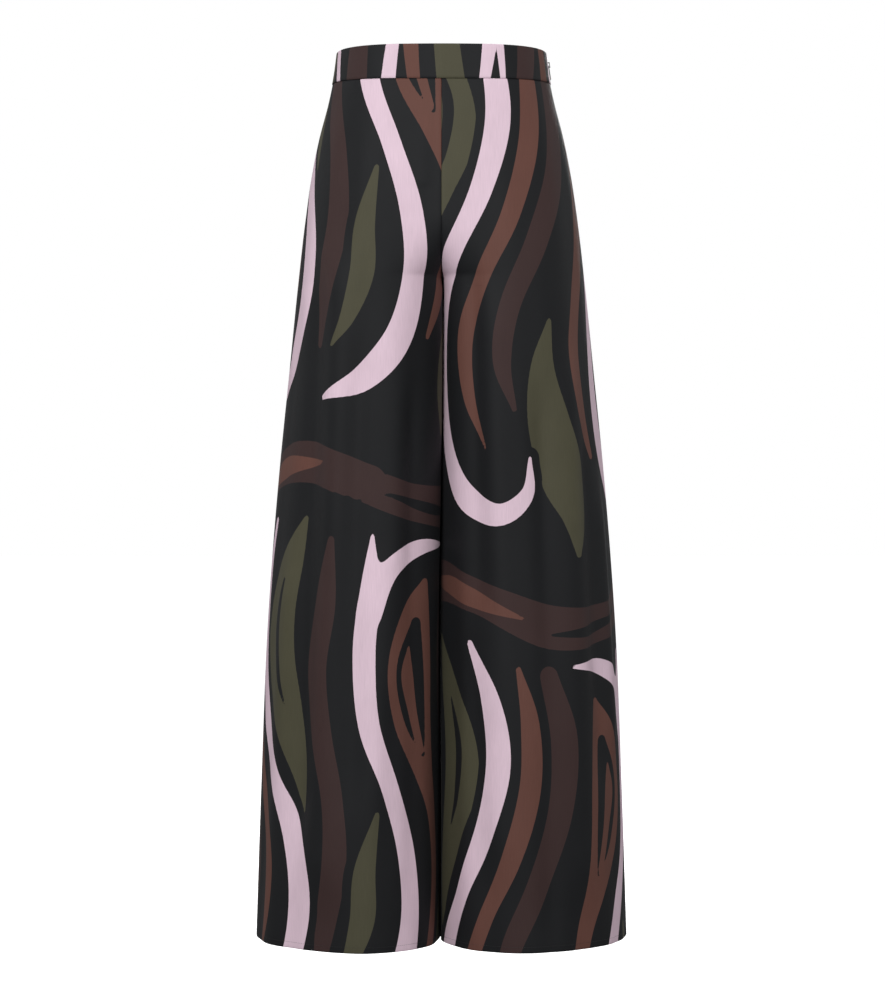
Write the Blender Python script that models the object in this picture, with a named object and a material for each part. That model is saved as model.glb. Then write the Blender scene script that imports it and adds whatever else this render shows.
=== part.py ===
"""Palazzo pants: high-waisted, very wide-legged trousers in one printed woven cloth.

The garment is hollow and filled out as if worn. Its front looks along -Y, the wearer's left is +X and
up is +Z. The origin is the middle of the waist, level with the seam under the waistband.
Every level of a leg is a closed D-shaped loop: a wall beside the other leg, a rounded corner, the
front-most (or rear-most) line, and an arc out to the side seam. Each cloth piece is a piece of those
loops with the wall of its cloth added inwards.
"""
import math

import bpy
import numpy as np

# ---- Cloth and seams (metres) ------------------------------------------------------------------
CLOTH = 0.0011              # wall of one layer of the trouser cloth
SEAM_GAP = 0.0003           # space left between two pieces that are sewn together
LEG_GAP = 0.0020            # space between the two legs where they hang side by side
BAND_WALL = 0.0020          # waistband: two layers and their interfacing
BAND_PROUD = 0.0008         # how far the band stands out past the trouser cloth
BAND_HEIGHT_CENTRE = 0.0435
BAND_HEIGHT_SIDE = 0.0380
HEM_Z = -1.0820
HEM_DEPTH = 0.0100          # turned-up hem
HEM_STEP = 0.0012           # height over which the wall grows to the doubled hem
HEM_WALL = 0.0022

# ---- Rise: the seam from the waist, front and back, under to the crotch -------------------------
CROTCH_Z = -0.2570
CROTCH_Y = 0.0200           # also the depth of the inseam down both legs
RISE_TOP_FRONT = -0.1650    # where the front rise starts to turn inwards
RISE_TOP_BACK = -0.1150
RISE_POWER_FRONT = 2.1
RISE_POWER_BACK = 2.0
EDGE_EASE = 0.0100          # distance over which a rise seam opens out to the gap between the legs

# ---- Levels of one leg ---------------------------------------------------------------------------
# half_width: side seam from the centre.  front / back: depth of the foremost / rearmost line, which
# stands front_x / back_x from the centre.  *_round: power of the arc out to the side seam (2 is an
# ellipse).  *_corner: how deep the rounded corner beside the other leg runs.
SECTION_COLUMNS = ("z", "half_width", "front", "front_x", "front_round", "front_corner",
                   "back", "back_x", "back_round", "back_corner")
SECTIONS = (
    (0.045, 0.1312, 0.0935, 0.040, 2.50, 0.040, 0.0960, 0.034, 2.30, 0.040),
    (0.000, 0.1378, 0.0980, 0.042, 2.50, 0.042, 0.1010, 0.036, 2.30, 0.042),
    (-0.020, 0.1420, 0.1005, 0.045, 2.50, 0.044, 0.1050, 0.040, 2.30, 0.044),
    (-0.070, 0.1550, 0.1080, 0.055, 2.40, 0.048, 0.1170, 0.050, 2.20, 0.050),
    (-0.120, 0.1650, 0.1130, 0.065, 2.35, 0.052, 0.1270, 0.060, 2.15, 0.056),
    (-0.170, 0.1724, 0.1165, 0.075, 2.30, 0.056, 0.1335, 0.070, 2.10, 0.062),
    (-0.257, 0.1825, 0.1205, 0.084, 2.20, 0.062, 0.1380, 0.082, 2.05, 0.070),
    (-0.360, 0.1930, 0.1240, 0.089, 2.10, 0.072, 0.1380, 0.088, 2.00, 0.080),
    (-0.480, 0.2053, 0.1280, 0.092, 2.00, 0.083, 0.1380, 0.092, 1.95, 0.090),
    (-0.680, 0.2212, 0.1345, 0.096, 1.90, 0.098, 0.1390, 0.098, 1.90, 0.104),
    (-0.880, 0.2297, 0.1400, 0.099, 1.85, 0.108, 0.1415, 0.101, 1.85, 0.112),
    (-1.090, 0.2370, 0.1450, 0.101, 1.80, 0.116, 0.1450, 0.103, 1.80, 0.118),
)

# ---- How finely the cloth is faceted -------------------------------------------------------------
PANEL_COLUMNS = 18
BAND_COLUMNS = 12           # in each half of a band piece
ROWS_ABOVE_RISE = 6
ROWS_IN_RISE = 7
ROWS_BELOW_CROTCH = 9
ARC_STEPS = 96              # fine steps of an arc before it is shared out in even columns

# ---- Concealed zip in the wearer's left side seam ------------------------------------------------
ZIP_BOTTOM_Z = -0.1750
ZIP_TOP_Z = 0.0350
TAPE_WIDTH = 0.0120
TAPE_WALL = 0.0010
TAPE_DEPTH = 0.0018         # outer face of the tape, inwards from the leg's outline
COIL_WIDTH = 0.0034
COIL_WALL = 0.0020
COIL_DEPTH = 0.0032
ZIP_ROWS = 12
MOUTH_HALF = 0.0013         # half the opening that the slider's neck passes through
MOUTH_LOW_Z = 0.0140        # the seam starts to open here and is fully open at MOUTH_HIGH_Z
MOUTH_HIGH_Z = 0.0195
SLIDER_Z = 0.0255           # level of the middle of the slider
SLIDER_BODY = (0.0033, 0.0072, 0.0100)    # depth, width, height
SLIDER_BODY_IN = 0.0042     # front of the body, inwards from the face of the band
SLIDER_NOSE = 0.36          # shares of the body's width and height where it narrows to the coil
SLIDER_SHOULDER = 0.07
NECK_WIDTH = 0.0016
BRIDGE_OUT = 0.0026         # outer face of the bridge, out from the face of the band
BRIDGE_BAR = 0.0009
BRIDGE_HEIGHT = 0.0070
BRIDGE_POST = 0.0012
PIVOT_OUT = 0.00085         # pull's hinge line: out from the face of the band, above the slider middle
PIVOT_UP = -0.0012
PULL_WALL = 0.0009
PULL_TOP = 0.0006           # bar of the pull above its hinge line
PULL_BAR_HALF = 0.0005
PULL_SLOT = 0.0042
PULL_SLOT_HALF = 0.0012
PULL_LENGTH = 0.0185
PULL_HALF = 0.0032
PULL_STEPS = 24
PULL_NECK = 0.72            # half width at the bar as a share of PULL_HALF, and what the foot adds
PULL_SWELL = 0.42

CLOTH_COLOUR = (0.020, 0.020, 0.021)
BAND_COLOUR = (0.024, 0.023, 0.024)
TAPE_COLOUR = (0.013, 0.013, 0.014)
METAL_COLOUR = (0.035, 0.035, 0.037)


# ---- Outline of the garment ----------------------------------------------------------------------
def section(z):
    """The sizes of the leg at height z, smoothly between the rows of SECTIONS."""
    rows = np.array(SECTIONS)
    heights = rows[::-1, 0]
    values = rows[::-1, 1:]
    z = min(max(z, heights[0]), heights[-1])
    i = min(int(np.searchsorted(heights, z, side="right")) - 1, len(heights) - 2)
    slopes = np.gradient(values, heights, axis=0)
    step = heights[i + 1] - heights[i]
    t = (z - heights[i]) / step
    blend = ((2 * t ** 3 - 3 * t ** 2 + 1) * values[i]
             + (t ** 3 - 2 * t ** 2 + t) * step * slopes[i]
             + (3 * t ** 2 - 2 * t ** 3) * values[i + 1]
             + (t ** 3 - t ** 2) * step * slopes[i + 1])
    return dict(zip(SECTION_COLUMNS[1:], blend))


def rise_depth(z, face):
    """How far the inner edge of a panel lies behind the foremost (or rearmost) line at height z."""
    reach = CROTCH_Y if face == "front" else -CROTCH_Y
    if z <= CROTCH_Z:
        return section(z)[face] + reach - SEAM_GAP / 2
    top = RISE_TOP_FRONT if face == "front" else RISE_TOP_BACK
    power = RISE_POWER_FRONT if face == "front" else RISE_POWER_BACK
    t = min(max((top - z) / (top - CROTCH_Z), 0.0), 1.0)
    full = section(CROTCH_Z)[face] + reach - SEAM_GAP / 2
    return full * (1 - (1 - t ** power) ** (1 / power))


def arc(start, middle, power):
    """Quarter of a superellipse: leaves start along Y and reaches middle along X (or the reverse)."""
    t = np.linspace(0.0, math.pi / 2, ARC_STEPS)
    across = 1 - np.cos(t) ** (2 / power)
    along = np.sin(t) ** (2 / power)
    return np.column_stack([start[0] + (middle[0] - start[0]) * across,
                            start[1] + (middle[1] - start[1]) * along])


def outline(z, face, columns, side_gap=SEAM_GAP / 2):
    """Points (x, y) of one face of the wearer's left leg at height z, and the inward directions.

    They run from the rise seam or inseam round to the side seam, evenly spaced.
    """
    size = section(z)
    out = -1.0 if face == "front" else 1.0
    depth = size[face]
    mid_x = size[face + "_x"]
    edge = rise_depth(z, face)
    turn = min(edge, size[face + "_corner"])
    below = min(max((CROTCH_Z - z) / EDGE_EASE, 0.0), 1.0)
    edge_x = SEAM_GAP / 2 + (LEG_GAP / 2 - SEAM_GAP / 2) * below
    wall_y = np.linspace(edge, turn, ARC_STEPS)
    ease = np.clip((edge - wall_y) / EDGE_EASE, 0.0, 1.0)
    wall_x = edge_x + (LEG_GAP / 2 - edge_x) * ease
    wall = np.column_stack([wall_x, out * (depth - wall_y)])
    corner = arc((wall_x[-1], out * (depth - turn)), (mid_x, out * depth), 2.0)
    side = arc((size["half_width"], out * side_gap), (mid_x, out * depth), size[face + "_round"])
    path = np.vstack([wall[:-1], corner[:-1], side[::-1]]) if edge > turn + 1e-6 \
        else np.vstack([corner[:-1], side[::-1]])
    run = np.concatenate([[0.0], np.cumsum(np.linalg.norm(np.diff(path, axis=0), axis=1))])
    keep = np.concatenate([[True], np.diff(run) > 1e-9])
    even = np.linspace(0.0, run[-1], columns)
    points = np.column_stack([np.interp(even, run[keep], path[keep, k]) for k in (0, 1)])
    tangent = np.gradient(points, axis=0)
    tangent /= np.linalg.norm(tangent, axis=1)[:, None]
    inward = np.column_stack([out * tangent[:, 1], -out * tangent[:, 0]])
    inward[0, 0] = max(inward[0, 0], 0.0)
    inward[0] /= np.linalg.norm(inward[0])
    inward[-1] = (-1.0, 0.0)
    return points, inward


# ---- Solids ----------------------------------------------------------------------------------------
def add_object(name, vertices, faces, colour, roughness, metallic=0.0):
    """One closed solid with its own material; its faces are turned to look outwards."""
    mesh = bpy.data.meshes.new(name)
    mesh.from_pydata([tuple(v) for v in vertices], [], [tuple(f) for f in faces])
    mesh.update()
    corners = np.array([mesh.vertices[i].co for i in range(len(mesh.vertices))])
    volume = 0.0
    for face in mesh.polygons:
        ring = [corners[i] for i in face.vertices]
        for a, b in zip(ring[1:-1], ring[2:]):
            volume += np.dot(ring[0], np.cross(a, b)) / 6
    if volume < 0:
        mesh.flip_normals()
    material = bpy.data.materials.new(name)
    material.use_nodes = True
    shader = material.node_tree.nodes["Principled BSDF"]
    shader.inputs["Base Color"].default_value = (*colour, 1.0)
    shader.inputs["Roughness"].default_value = roughness
    shader.inputs["Metallic"].default_value = metallic
    mesh.materials.append(material)
    part = bpy.data.objects.new(name, mesh)
    bpy.context.scene.collection.objects.link(part)
    return part


def shell(name, outer, inner, colour, roughness):
    """A cloth piece: two grids of points (rows, columns, 3) closed round their four edges."""
    rows, columns = outer.shape[:2]
    count = rows * columns
    vertices = np.vstack([outer.reshape(-1, 3), inner.reshape(-1, 3)])
    faces = []
    for r in range(rows - 1):
        for c in range(columns - 1):
            a = r * columns + c
            b = a + columns
            faces.append((a, a + 1, b + 1, b))
            faces.append((count + a, count + b, count + b + 1, count + a + 1))
    border = list(range(columns))
    border += [r * columns + columns - 1 for r in range(1, rows)]
    border += [(rows - 1) * columns + c for c in range(columns - 2, -1, -1)]
    border += [r * columns for r in range(rows - 2, 0, -1)]
    for a, b in zip(border, border[1:] + border[:1]):
        faces.append((b, a, count + a, count + b))
    return add_object(name, vertices, faces, colour, roughness)


def panel_heights(face):
    """Levels of a panel: even above the rise's turn, by angle round it, even down to the hem."""
    top = RISE_TOP_FRONT if face == "front" else RISE_TOP_BACK
    above = np.linspace(-SEAM_GAP / 2, top, ROWS_ABOVE_RISE, endpoint=False)
    turn = top + (CROTCH_Z - top) * np.sin(np.linspace(0.0, math.pi / 2, ROWS_IN_RISE))
    hem_top = HEM_Z + HEM_DEPTH
    leg = np.linspace(CROTCH_Z, hem_top + HEM_STEP, ROWS_BELOW_CROTCH)[1:]
    return np.concatenate([above, turn, [CROTCH_Z - EDGE_EASE], leg, [hem_top, HEM_Z]])


def leg_panel(name, face, mirror):
    """Front or back panel of one leg; mirror is 1 for the wearer's left leg, -1 for the right."""
    outer = []
    inner = []
    for z in panel_heights(face):
        wall = HEM_WALL if z <= HEM_Z + HEM_DEPTH else CLOTH
        points, inward = outline(z, face, PANEL_COLUMNS)
        deep = points + inward * wall
        outer.append([(mirror * x, y, z) for x, y in points])
        inner.append([(mirror * x, y, z) for x, y in deep])
    return shell(name, np.array(outer), np.array(inner), CLOTH_COLOUR, 0.85)


def mouth(z):
    """Half the space between the two sides of the zipped seam at height z."""
    t = min(max((z - MOUTH_LOW_Z) / (MOUTH_HIGH_Z - MOUTH_LOW_Z), 0.0), 1.0)
    return SEAM_GAP / 2 + (MOUTH_HALF - SEAM_GAP / 2) * t * t * (3 - 2 * t)


def band_top(share):
    """Height of the band's top edge; share runs from 0 at the centre to 1 at the side seam."""
    return BAND_HEIGHT_CENTRE + (BAND_HEIGHT_SIDE - BAND_HEIGHT_CENTRE) * share ** 2


def band_point(z, face, column, zipped):
    """Outer and inner point of the band, at one column of one half of it."""
    side_gap = mouth(z) if zipped else SEAM_GAP / 2
    points, inward = outline(z, face, BAND_COLUMNS, side_gap)
    if column == 0:
        inward[0] = (0.0, 1.0 if face == "front" else -1.0)
        points[0, 0] = 0.0
    outer = points[column] - inward[column] * BAND_PROUD
    inner = points[column] + inward[column] * (BAND_WALL - BAND_PROUD)
    return outer, inner


def waistband(name, face):
    """One half of the waistband, from the right side seam round to the zip at the left."""
    shares = np.linspace(0.0, 1.0, BAND_COLUMNS)
    low = SEAM_GAP / 2
    levels = [0.0, MOUTH_LOW_Z, (MOUTH_LOW_Z + MOUTH_HIGH_Z) / 2, MOUTH_HIGH_Z, None]
    outer = []
    inner = []
    for level in levels:
        outer_row = []
        inner_row = []
        for side in (-1, 1):
            order = range(BAND_COLUMNS - 1, 0, -1) if side < 0 else range(BAND_COLUMNS)
            for column in order:
                z = band_top(shares[column]) if level is None else max(level, low)
                out_xy, in_xy = band_point(z, face, column, side > 0)
                outer_row.append((side * out_xy[0], out_xy[1], z))
                inner_row.append((side * in_xy[0], in_xy[1], z))
        outer.append(outer_row)
        inner.append(inner_row)
    return shell(name, np.array(outer), np.array(inner), BAND_COLOUR, 0.8)


def zip_tape(name, face):
    """One tape of the zip: a strip of the leg's own outline beside the seam, moved inwards."""
    outer = []
    inner = []
    for z in np.linspace(ZIP_TOP_Z, ZIP_BOTTOM_Z, ZIP_ROWS * 2):
        points, inward = outline(z, face, ARC_STEPS, mouth(z))
        run = np.linalg.norm(points - points[-1], axis=1)
        outer_row = []
        inner_row = []
        for reach in np.linspace(0.0, TAPE_WIDTH, 4):
            k = int(np.argmin(np.abs(run - reach)))
            at = points[k] + inward[k] * TAPE_DEPTH
            deep = points[k] + inward[k] * (TAPE_DEPTH + TAPE_WALL)
            outer_row.append((at[0], at[1], z))
            inner_row.append((deep[0], deep[1], z))
        outer.append(outer_row)
        inner.append(inner_row)
    return shell(name, np.array(outer), np.array(inner), TAPE_COLOUR, 0.9)


def zip_coil(name):
    """The closed coil: a plain ribbon behind the two tapes, up to the slider."""
    outer = []
    inner = []
    for z in np.linspace(MOUTH_HIGH_Z - 0.0004, ZIP_BOTTOM_Z + 0.0030, ZIP_ROWS):
        x = section(z)["half_width"] - COIL_DEPTH
        outer.append([(x, y, z) for y in np.linspace(-COIL_WIDTH / 2, COIL_WIDTH / 2, 3)])
        inner.append([(x - COIL_WALL, y, z) for y in np.linspace(-COIL_WIDTH / 2, COIL_WIDTH / 2, 3)])
    return shell(name, np.array(outer), np.array(inner), TAPE_COLOUR, 0.5)


def slider_frame():
    """A point on the face of the band at the slider, with the outward and upward directions there."""
    low = section(0.0)["half_width"]
    high = section(BAND_HEIGHT_SIDE)["half_width"]
    lean = math.atan2(low - high, BAND_HEIGHT_SIDE)
    x = low + (high - low) * SLIDER_Z / BAND_HEIGHT_SIDE + BAND_PROUD
    out = np.array([math.cos(lean), 0.0, math.sin(lean)])
    up = np.array([-math.sin(lean), 0.0, math.cos(lean)])
    return np.array([x, 0.0, SLIDER_Z]), out, up


def placed(local):
    """Points given as (out, across, up) from the slider's middle, in the garment's own directions."""
    origin, out, up = slider_frame()
    across = np.array([0.0, 1.0, 0.0])
    return [origin + a * out + b * across + c * up for a, b, c in local]


def ring_solid(name, outside, inside, wall_axis, half_wall, colour, roughness, metallic):
    """A flat frame: two closed loops with equal counts of points, pushed out along one axis."""
    count = len(outside)
    local = []
    for side in (-half_wall, half_wall):
        for loop in (outside, inside):
            for a, b in loop:
                local.append((a, side, b) if wall_axis == 1 else (side, a, b))
    faces = []
    for i in range(count):
        j = (i + 1) % count
        faces.append((i, j, count + j, count + i))
        faces.append((2 * count + i, 3 * count + i, 3 * count + j, 2 * count + j))
        faces.append((i, 2 * count + i, 2 * count + j, j))
        faces.append((count + i, count + j, 3 * count + j, 3 * count + i))
    return add_object(name, placed(local), faces, colour, roughness, metallic)


def slider():
    """The zip's slider: a body behind the tapes and a bridge that stands out through the seam."""
    depth, width, height = SLIDER_BODY
    top = BRIDGE_HEIGHT / 2
    back = -SLIDER_BODY_IN - depth / 2
    eye_out = BRIDGE_OUT - BRIDGE_BAR
    eye_top = top - BRIDGE_POST
    outside = [(back, -top), (BRIDGE_OUT, -top), (BRIDGE_OUT, top), (back, top)]
    inside = [(-SLIDER_BODY_IN + 0.0002, -eye_top), (eye_out, -eye_top), (eye_out, eye_top),
              (-SLIDER_BODY_IN + 0.0002, eye_top)]
    bridge = ring_solid("zip_slider", outside, inside, 1, NECK_WIDTH / 2, METAL_COLOUR, 0.4, 0.8)
    nose = width * SLIDER_NOSE
    low = -height * SLIDER_NOSE
    shoulder = -height * SLIDER_SHOULDER
    profile = [(-nose, low), (nose, low), (width / 2, shoulder),
               (width / 2, height / 2), (-width / 2, height / 2), (-width / 2, shoulder)]
    count = len(profile)
    local = [(-SLIDER_BODY_IN - depth, a, b) for a, b in profile]
    local += [(-SLIDER_BODY_IN, a, b) for a, b in profile]
    faces = [tuple(range(count)), tuple(range(2 * count - 1, count - 1, -1))]
    for i in range(count):
        j = (i + 1) % count
        faces.append((i, count + i, count + j, j))
    body = add_object("slider_body", placed(local), faces, METAL_COLOUR, 0.4, 0.8)
    joined = bridge.modifiers.new("body", "BOOLEAN")
    joined.operation = "UNION"
    joined.solver = "EXACT"
    joined.object = body
    view = bpy.context.evaluated_depsgraph_get()
    solid = bpy.data.meshes.new_from_object(bridge.evaluated_get(view))
    bridge.modifiers.clear()
    bridge.data = solid
    bpy.data.objects.remove(body)
    return bridge


def pull():
    """The teardrop tab on the bridge; its object origin is on the hinge line."""
    outside = []
    inside = []
    slot_top = PIVOT_UP - PULL_BAR_HALF
    slot_low = PIVOT_UP - PULL_SLOT
    slot_mid = (slot_top + slot_low) / 2
    slot_half = (slot_top - slot_low) / 2
    middle = PIVOT_UP + PULL_TOP - PULL_LENGTH / 2
    for i in range(PULL_STEPS):
        angle = math.pi / 2 - 2 * math.pi * i / PULL_STEPS
        x = math.cos(angle)
        y = math.sin(angle)
        down = (1 - y) / 2
        wide = PULL_HALF * (PULL_NECK + PULL_SWELL * down ** 1.5)
        outside.append((wide * np.sign(x) * abs(x) ** 0.75, middle + PULL_LENGTH / 2 * y))
        square_x = np.sign(x) * abs(x) ** 0.5
        square_y = np.sign(y) * abs(y) ** 0.5
        inside.append((PULL_SLOT_HALF * square_x, slot_mid + slot_half * square_y))
    tab = ring_solid("zip_pull", outside, inside, 0, PULL_WALL / 2, METAL_COLOUR, 0.35, 0.8)
    origin, out, up = slider_frame()
    pivot = origin + PIVOT_OUT * out + PIVOT_UP * up
    shift = PIVOT_OUT * out
    for vertex in tab.data.vertices:
        vertex.co = [vertex.co[k] + shift[k] - pivot[k] for k in range(3)]
    tab.location = [float(k) for k in pivot]
    return tab


for thing in list(bpy.data.objects):
    bpy.data.objects.remove(thing)

leg_panel("front_leg_right", "front", -1)
leg_panel("front_leg_left", "front", 1)
leg_panel("back_leg_right", "back", -1)
leg_panel("back_leg_left", "back", 1)
waistband("waistband_front", "front")
waistband("waistband_back", "back")
zip_tape("zip_tape_front", "front")
zip_tape("zip_tape_back", "back")
zip_coil("zip_coil")
slider()
pull()
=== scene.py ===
"""Looks of the palazzo pants: printed twill, pressed seams, turned hems and a concealed side zip.

Lengths are metres. Front is -Y, the wearer's left is +X, up is +Z, and z = 0 is the waist seam.
"""

import math

import bpy
import numpy as np
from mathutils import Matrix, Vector


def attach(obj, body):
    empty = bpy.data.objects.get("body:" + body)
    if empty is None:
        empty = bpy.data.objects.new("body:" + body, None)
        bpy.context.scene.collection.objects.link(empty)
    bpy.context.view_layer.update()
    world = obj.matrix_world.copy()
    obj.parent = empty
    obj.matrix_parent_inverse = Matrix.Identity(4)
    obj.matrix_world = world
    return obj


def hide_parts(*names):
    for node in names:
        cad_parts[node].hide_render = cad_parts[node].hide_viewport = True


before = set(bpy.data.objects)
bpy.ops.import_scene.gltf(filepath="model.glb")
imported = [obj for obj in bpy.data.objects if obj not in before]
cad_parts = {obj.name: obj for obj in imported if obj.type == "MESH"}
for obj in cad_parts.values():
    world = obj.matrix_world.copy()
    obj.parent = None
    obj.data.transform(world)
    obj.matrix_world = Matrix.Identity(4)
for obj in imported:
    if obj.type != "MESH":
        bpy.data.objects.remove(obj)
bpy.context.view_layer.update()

# ---- Cut of the garment: the CAD's sizes, but with sewn edges that touch -------------------------
WAIST_GAP = 0.00015             # half the groove of the waist seam
LEG_GAP = 0.0020
BAND_WALL = 0.0020
BAND_PROUD = 0.0008
BAND_HEIGHT_CENTRE = 0.0435
BAND_HEIGHT_SIDE = 0.0380
HEM_Z = -1.0820
HEM_DEPTH = 0.0100
CROTCH_Z = -0.2570
CROTCH_Y = 0.0200
RISE_TOP = {"front": -0.1650, "back": -0.1150}
RISE_POWER = {"front": 2.1, "back": 2.0}
EDGE_EASE = 0.0100
ZIP_BOTTOM_Z = -0.1750
ZIP_TOP_Z = 0.0350
TAPE_WIDTH = 0.0120
TAPE_DEPTH = 0.0018
COIL_WIDTH = 0.0034
COIL_DEPTH = 0.0032
COIL_WALL = 0.0020
MOUTH_HALF = 0.0013
MOUTH_LOW_Z = 0.0140
MOUTH_HIGH_Z = 0.0195

SECTION_COLUMNS = ("z", "half_width", "front", "front_x", "front_round", "front_corner",
                   "back", "back_x", "back_round", "back_corner")
SECTIONS = np.array((
    (0.045, 0.1312, 0.0935, 0.040, 2.50, 0.040, 0.0960, 0.034, 2.30, 0.040),
    (0.000, 0.1378, 0.0980, 0.042, 2.50, 0.042, 0.1010, 0.036, 2.30, 0.042),
    (-0.020, 0.1420, 0.1005, 0.045, 2.50, 0.044, 0.1050, 0.040, 2.30, 0.044),
    (-0.070, 0.1550, 0.1080, 0.055, 2.40, 0.048, 0.1170, 0.050, 2.20, 0.050),
    (-0.120, 0.1650, 0.1130, 0.065, 2.35, 0.052, 0.1270, 0.060, 2.15, 0.056),
    (-0.170, 0.1724, 0.1165, 0.075, 2.30, 0.056, 0.1335, 0.070, 2.10, 0.062),
    (-0.257, 0.1825, 0.1205, 0.084, 2.20, 0.062, 0.1380, 0.082, 2.05, 0.070),
    (-0.360, 0.1930, 0.1240, 0.089, 2.10, 0.072, 0.1380, 0.088, 2.00, 0.080),
    (-0.480, 0.2053, 0.1280, 0.092, 2.00, 0.083, 0.1380, 0.092, 1.95, 0.090),
    (-0.680, 0.2212, 0.1345, 0.096, 1.90, 0.098, 0.1390, 0.098, 1.90, 0.104),
    (-0.880, 0.2297, 0.1400, 0.099, 1.85, 0.108, 0.1415, 0.101, 1.85, 0.112),
    (-1.090, 0.2370, 0.1450, 0.101, 1.80, 0.116, 0.1450, 0.103, 1.80, 0.118),
))
PATH_STEPS = 90

# ---- How finely the cloth is meshed --------------------------------------------------------------
WALL = 0.0010                                   # one layer of the twill
PANEL_COLUMNS = 158
ROW_STEP = 0.0042
RISE_ROWS = 34
SEAM_COLUMNS = (0.0, 0.0008, 0.0018, 0.0034)    # columns beside a seam, from its edge
TOP_ROWS = (-0.0006, 0.0003, 0.0012, 0.0021, 0.0034)    # rows below the waist seam; one is in it
TOP_TUCK = 0.0009                               # how far the cloth sinks under the band
SEAM_DIP = 0.0007                               # how far a pressed seam sinks
SEAM_SOFT = 0.0014
HEM_RADIUS = 0.00115
HEM_TURN_ROWS = 7
ALLOWANCE = 0.0105                              # width of the seam allowances
ALLOWANCE_LAP = 0.0012
ALLOWANCE_WALL = 0.0007
ALLOWANCE_GAP = 0.0003
OVERLOCK_REACH = 0.0042                         # of its loops, in from the free edge
OVERLOCK_PITCH = 0.0021
ALLOWANCE_WAVE = (0.0004, 900.0)                # of its free edge: size, and radians to a metre
BAND_COLUMNS = 120                              # in each half of a band piece
BAND_LEVELS = 16
BAND_EDGE = 0.0010                              # radius of the fold at the band's top edge
BAND_SWELL = 0.00025                            # how far the band's face bulges
BAND_RIPPLE = (0.0004, 41)                      # its waves: size, and radians to a metre
BAND_ENDS = (0.0, 0.0004, 0.0010, 0.0020)       # columns beside a side seam
BAND_END_WALL = (0.92, 0.75, 0.40)              # share of the wall left at the last of them
BAND_FOOT_LIFT = 0.0005                         # of the foot of both faces

# ---- Soft folds, drawn on the flat cloth ---------------------------------------------------------
# across_top and across_low: where the fold's line starts and ends, from the garment's centre; it
# runs from z_top to z_low.  width is to where it has faded to a third; height is positive for a
# ridge and negative for a trough.
FOLDS = {
    "front_right": (
        (0.128, -0.22, 0.150, -0.98, 0.022, 0.0045),
        (0.158, -0.26, 0.185, -0.90, 0.016, -0.0040),
        (0.102, -0.34, 0.112, -0.86, 0.014, -0.0022),
        (0.060, -0.30, 0.052, -0.74, 0.018, 0.0018),
        (0.030, -0.40, 0.020, -1.00, 0.016, -0.0020),
        (0.205, -0.60, 0.232, -1.08, 0.020, 0.0030),
        (0.075, -0.62, 0.088, -1.08, 0.020, 0.0026),
        (0.120, -0.05, 0.128, -0.20, 0.016, -0.0012),
    ),
    "front_left": (
        (0.036, -0.24, 0.044, -0.62, 0.014, -0.0026),
        (0.066, -0.28, 0.078, -0.95, 0.020, 0.0026),
        (0.124, -0.40, 0.140, -1.04, 0.015, -0.0030),
        (0.165, -0.36, 0.184, -0.98, 0.020, 0.0036),
        (0.192, -0.46, 0.214, -0.84, 0.012, -0.0026),
        (0.226, -0.52, 0.250, -0.80, 0.012, 0.0024),
        (0.018, -0.55, 0.010, -1.02, 0.018, 0.0022),
        (0.112, -0.04, 0.120, -0.19, 0.016, -0.0012),
    ),
    "back_right": (
        (0.060, -0.26, 0.070, -0.96, 0.020, 0.0030),
        (0.110, -0.30, 0.122, -0.90, 0.016, -0.0034),
        (0.150, -0.24, 0.178, -1.02, 0.020, 0.0036),
        (0.024, -0.34, 0.022, -0.80, 0.014, -0.0026),
        (0.205, -0.55, 0.225, -1.05, 0.018, -0.0026),
    ),
    "back_left": (
        (0.048, -0.27, 0.052, -0.82, 0.016, -0.0030),
        (0.088, -0.25, 0.106, -1.00, 0.020, 0.0034),
        (0.140, -0.32, 0.158, -0.94, 0.016, -0.0032),
        (0.178, -0.30, 0.206, -1.04, 0.022, 0.0034),
        (0.020, -0.60, 0.016, -1.05, 0.016, 0.0024),
    ),
}
FOLD_GAIN = 1.6                 # scales every height above
FOLD_FADE = 0.09                # length over which a fold comes and goes
FOLD_SEAM_REACH = 0.024         # folds flatten this close to a seam
FOLD_INNER = (0.012, 0.045)     # and where the two legs face each other
ROLL = 0.00075                  # how much the cloth rolls between the folds
ROLL_FADE = 0.15                # below the waist seam
# slow sines of the roll: share, waves across and up, and how far each panel shifts it, in radians
ROLL_WAVES = ((1.0, 52, 5, 1), (0.6, 31, -11, 2), (0.5, 97, 9, 3), (0.3, 163, 14, 5))
PANEL_SHIFT = 7.0
INNER_WAVE = 0.0026             # there both legs sway together, so that no light passes between them
INNER_REACH = 0.030             # how far in from the inner walls that reaches
INNER_SWAY = (52, 1.3, 5)       # its wave front to back, and the size and wave of its wander in z
INNER_DEPTH = 0.128             # it has faded out this far front and back
INNER_FADE = 0.03
INNER_TOP = CROTCH_Z + 0.024

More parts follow.
